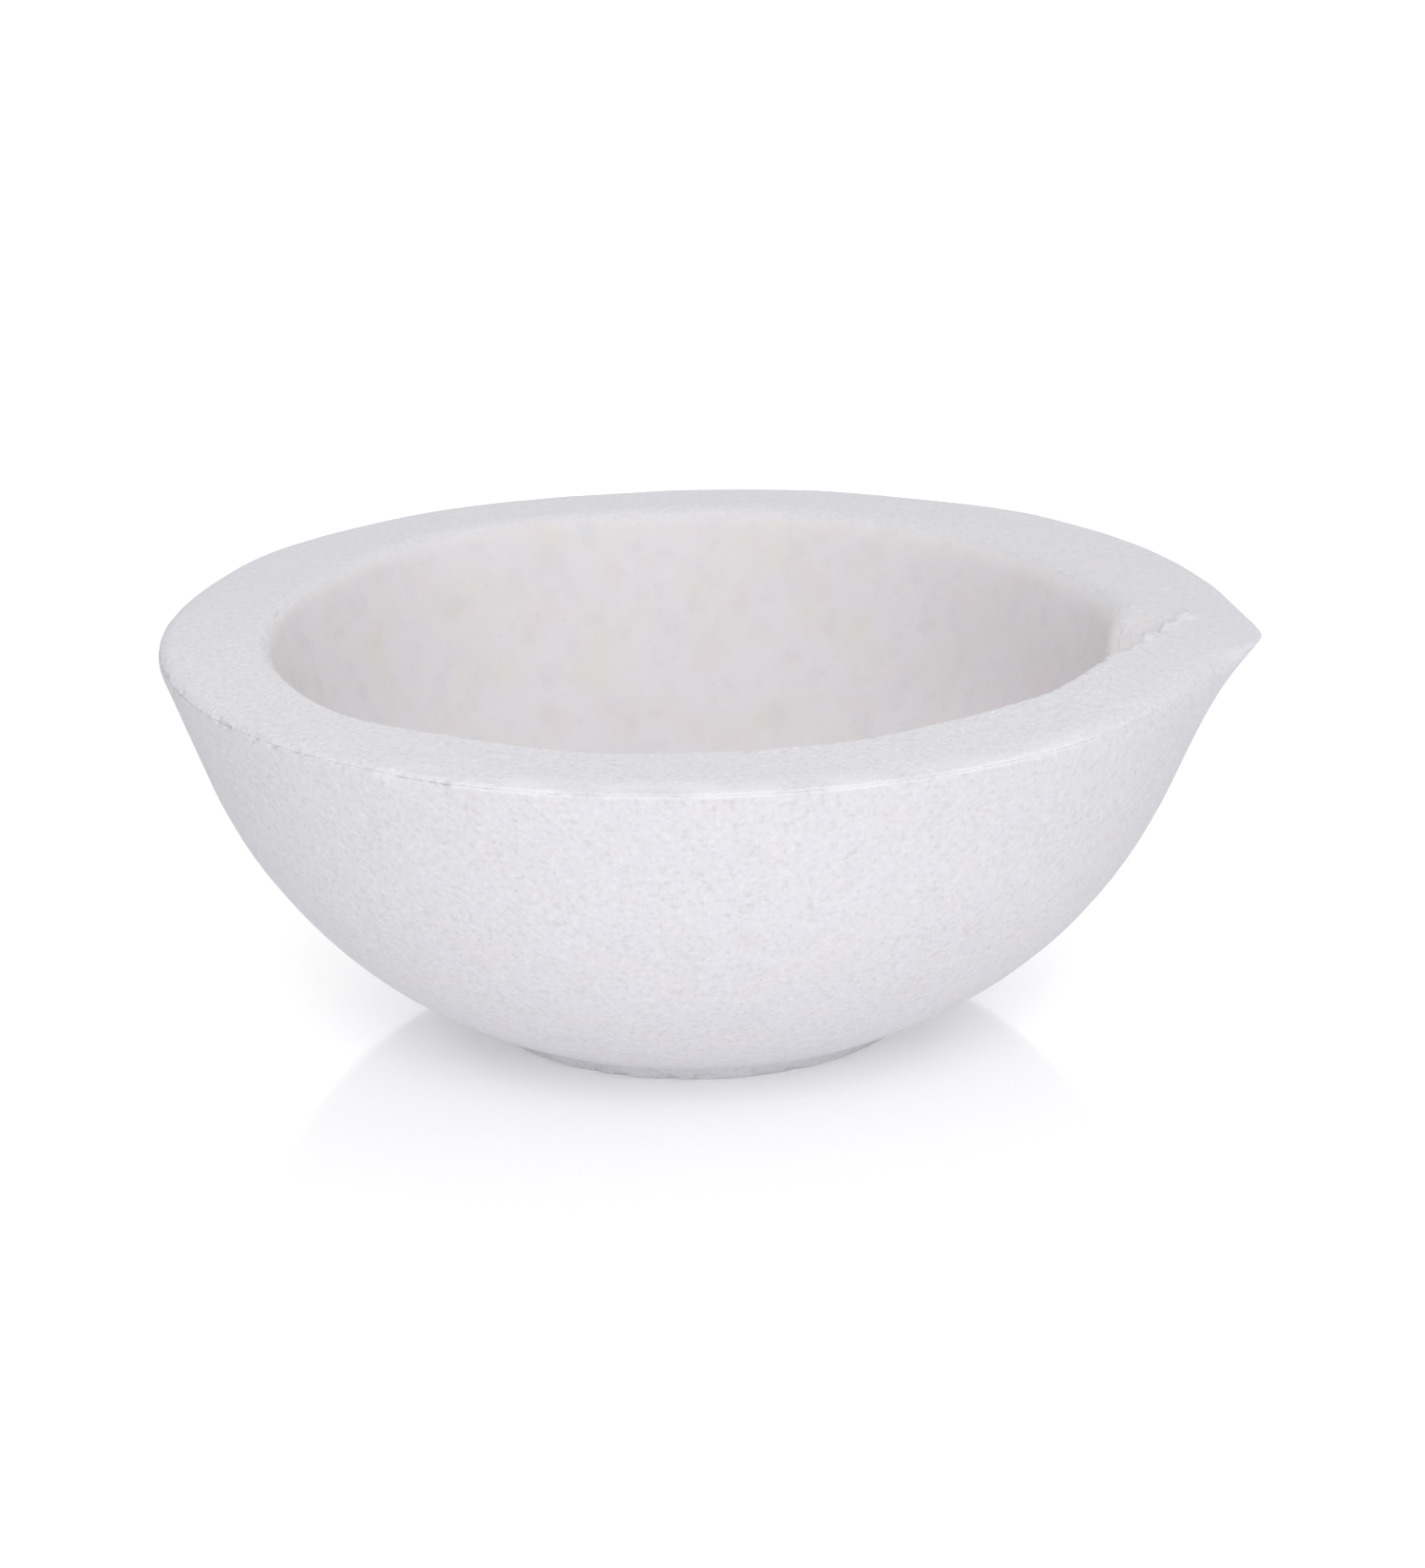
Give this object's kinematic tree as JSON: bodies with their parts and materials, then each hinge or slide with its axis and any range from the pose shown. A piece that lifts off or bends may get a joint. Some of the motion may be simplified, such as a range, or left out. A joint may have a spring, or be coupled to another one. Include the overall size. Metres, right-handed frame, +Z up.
{
  "type": "evaporating dish",
  "caption": "Thick-walled round dish of unglazed white refractory with a low foot, a beak and a pouring notch in its flat rim.",
  "frame": {"origin": "centre of the foot's flat underside", "axes": "+Z up out of the dish's mouth, +X towards the beak; the dish is its own mirror image across the XZ plane"},
  "size_m": [0.1235, 0.1198, 0.0457],
  "materials": {
    "fired_silica": "matte"
  },
  "bodies": {
    "root": {"dish": "fired_silica"}
  },
  "joints": []
}
